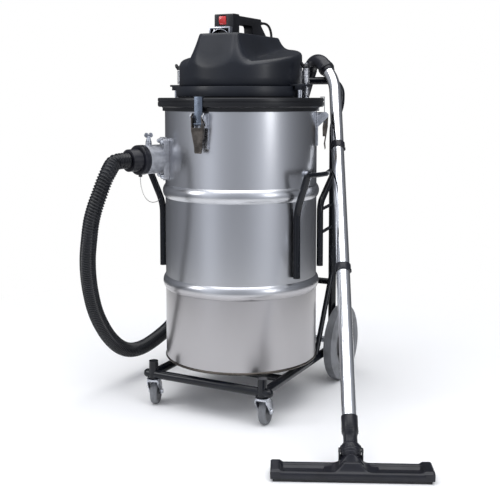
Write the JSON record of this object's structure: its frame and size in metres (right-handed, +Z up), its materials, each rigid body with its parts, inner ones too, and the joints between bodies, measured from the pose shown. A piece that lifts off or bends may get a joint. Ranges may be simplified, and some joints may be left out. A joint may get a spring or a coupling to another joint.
{
  "type": "shop vacuum",
  "caption": "Tall steel drum vacuum on a tube trolley, with a clamped power head, a swivel inlet, a ribbed hose, a jointed wand and a floor tool.",
  "frame": {"origin": "on the floor under the drum's axis", "axes": "+Z up along the drum's axis, the front of the machine faces -Y, +X to the right seen from the front"},
  "size_m": [1.1194, 1.0107, 1.157],
  "materials": {
    "drum_steel": "satin rolled sheet",
    "cast_aluminium": "as cast",
    "zinc_plate": "bright zinc plated",
    "dark_bronze": "dark plated",
    "black_ring": "satin black",
    "seal_rubber": "matt",
    "filter_cloth": "felt",
    "filter_frame": "moulded",
    "motor_metal": "pressed",
    "head_plastic": "satin moulded",
    "red_plastic": "gloss",
    "knob_plastic": "gloss",
    "black_paint": "gloss",
    "grey_tyre": "ribbed grey rubber",
    "wand_chrome": "polished",
    "black_fitting": "satin moulded",
    "hose_plastic": "ribbed gloss",
    "tether_wire": "bright",
    "lead_rubber": "satin"
  },
  "bodies": {
    "machine": {"drum_shell": "drum_steel", "drum_bead": "drum_steel", "drum_bosses": "drum_steel", "inlet_casting": "cast_aluminium", "inlet_fittings": "zinc_plate", "lid_ring": "black_ring", "gaskets": "seal_rubber", "filter_ring": "filter_frame", "filter_bag": "filter_cloth", "latch_base_front": "zinc_plate", "latch_base_right": "zinc_plate", "latch_base_left": "zinc_plate", "head_base": "head_plastic", "motor_plate": "filter_frame", "motors": "motor_metal", "motor_cover": "head_plastic", "carry_handle": "head_plastic", "front_bracket": "zinc_plate", "stud_springs": "zinc_plate", "stud_rods": "zinc_plate", "stud_lugs": "head_plastic", "front_frame": "black_paint", "frame_rails": "black_paint", "frame_uprights": "black_paint", "frame_handle": "black_paint", "frame_braces": "black_paint", "cradle_pads": "seal_rubber", "guide_hoops": "black_paint", "guide_bars": "black_paint", "rear_axle": "zinc_plate", "wand_tubes": "wand_chrome", "wand_collars": "black_fitting", "wand_elbow": "black_fitting", "wand_cuff": "black_fitting", "tool_neck": "black_fitting", "hose_ring": "black_fitting", "hose": "hose_plastic", "hose_tether": "tether_wire", "mains_lead": "lead_rubber", "lead_coil": "lead_rubber", "mains_plug": "lead_rubber"},
    "lever_front": {"latch_lever_front": "dark_bronze"},
    "strap_front": {"latch_strap_front": "zinc_plate"},
    "lever_right": {"latch_lever_right": "dark_bronze"},
    "strap_right": {"latch_strap_right": "zinc_plate"},
    "lever_left": {"latch_lever_left": "dark_bronze"},
    "strap_left": {"latch_strap_left": "zinc_plate"},
    "rocker": {"rocker": "red_plastic"},
    "knob_right": {"stud_knob_right": "knob_plastic"},
    "knob_left": {"stud_knob_left": "knob_plastic"},
    "wing_screw": {"inlet_wing_screw": "zinc_plate"},
    "hose_swivel": {"hose_cuff": "black_fitting"},
    "fork_right": {"castor_fork_right": "zinc_plate"},
    "castor_right": {"castor_wheel_right": "grey_tyre"},
    "fork_left": {"castor_fork_left": "zinc_plate"},
    "castor_left": {"castor_wheel_left": "grey_tyre"},
    "wheel_right": {"rear_wheel_right": "grey_tyre"},
    "wheel_left": {"rear_wheel_left": "grey_tyre"},
    "floor_tool": {"tool_body": "black_fitting", "tool_strips": "seal_rubber"}
  },
  "joints": [
    {"name": "latch_front_open", "type": "hinge", "parent": "machine", "child": "lever_front", "pos_m": [0, -0.257, 0.862], "axis": [-1, 0, 0], "range_deg": [0, 110]},
    {"name": "strap_front_turn", "type": "hinge", "parent": "lever_front", "child": "strap_front", "pos_m": [0, -0.2545, 0.842], "axis": [-1, 0, 0], "range_deg": [-110, 0]},
    {"name": "latch_right_open", "type": "hinge", "parent": "machine", "child": "lever_right", "pos_m": [0.23829, 0.09627, 0.862], "axis": [0.3746, -0.9272, 0], "range_deg": [0, 110]},
    {"name": "strap_right_turn", "type": "hinge", "parent": "lever_right", "child": "strap_right", "pos_m": [0.23597, 0.09534, 0.842], "axis": [0.3746, -0.9272, 0], "range_deg": [-110, 0]},
    {"name": "latch_left_open", "type": "hinge", "parent": "machine", "child": "lever_left", "pos_m": [-0.22257, 0.1285, 0.862], "axis": [0.5, 0.866, 0], "range_deg": [0, 110]},
    {"name": "strap_left_turn", "type": "hinge", "parent": "lever_left", "child": "strap_left", "pos_m": [-0.2204, 0.12725, 0.842], "axis": [0.5, 0.866, 0], "range_deg": [-110, 0]},
    {"name": "switch_tip", "type": "hinge", "parent": "machine", "child": "rocker", "pos_m": [-0.004, -0.099, 1.139], "axis": [1, 0, 0], "range_deg": [-14, 0]},
    {"name": "knob_right_turn", "type": "hinge", "parent": "machine", "child": "knob_right", "pos_m": [0.214, 0, 1], "axis": [0, 0, 1], "continuous": true},
    {"name": "knob_left_turn", "type": "hinge", "parent": "machine", "child": "knob_left", "pos_m": [-0.214, 0, 1], "axis": [0, 0, 1], "continuous": true},
    {"name": "wing_screw_turn", "type": "hinge", "parent": "machine", "child": "wing_screw", "pos_m": [-0.1952, -0.20807, 0.79], "axis": [0, 0, 1], "continuous": true},
    {"name": "hose_swivel_turn", "type": "hinge", "parent": "machine", "child": "hose_swivel", "pos_m": [-0.17542, -0.1472, 0.735], "axis": [-0.309, -0.9511, 0], "continuous": true},
    {"name": "castor_right_swivel", "type": "hinge", "parent": "machine", "child": "fork_right", "pos_m": [0.1805, -0.214, 0.08], "axis": [0, 0, 1], "continuous": true},
    {"name": "castor_right_roll", "type": "hinge", "parent": "fork_right", "child": "castor_right", "pos_m": [0.17778, -0.18814, 0.0375], "axis": [0.9945, 0.1045, 0], "continuous": true},
    {"name": "castor_left_swivel", "type": "hinge", "parent": "machine", "child": "fork_left", "pos_m": [-0.1805, -0.214, 0.08], "axis": [0, 0, 1], "continuous": true},
    {"name": "castor_left_roll", "type": "hinge", "parent": "fork_left", "child": "castor_left", "pos_m": [-0.18896, -0.18942, 0.0375], "axis": [0.9455, 0.3256, 0], "continuous": true},
    {"name": "wheel_right_roll", "type": "hinge", "parent": "machine", "child": "wheel_right", "pos_m": [0.2165, 0.288, 0.12], "axis": [1, 0, 0], "continuous": true},
    {"name": "wheel_left_roll", "type": "hinge", "parent": "machine", "child": "wheel_left", "pos_m": [-0.2165, 0.288, 0.12], "axis": [1, 0, 0], "continuous": true},
    {"name": "tool_tilt", "type": "hinge", "parent": "machine", "child": "floor_tool", "pos_m": [0.50586, -0.38152, 0.05584], "axis": [0.9063, 0.4226, 0], "range_deg": [-25, 25]}
  ],
  "couplings": [
    {"joint": "strap_front_turn", "follows": "latch_front_open", "ratio": -1},
    {"joint": "strap_right_turn", "follows": "latch_right_open", "ratio": -1},
    {"joint": "strap_left_turn", "follows": "latch_left_open", "ratio": -1}
  ]
}
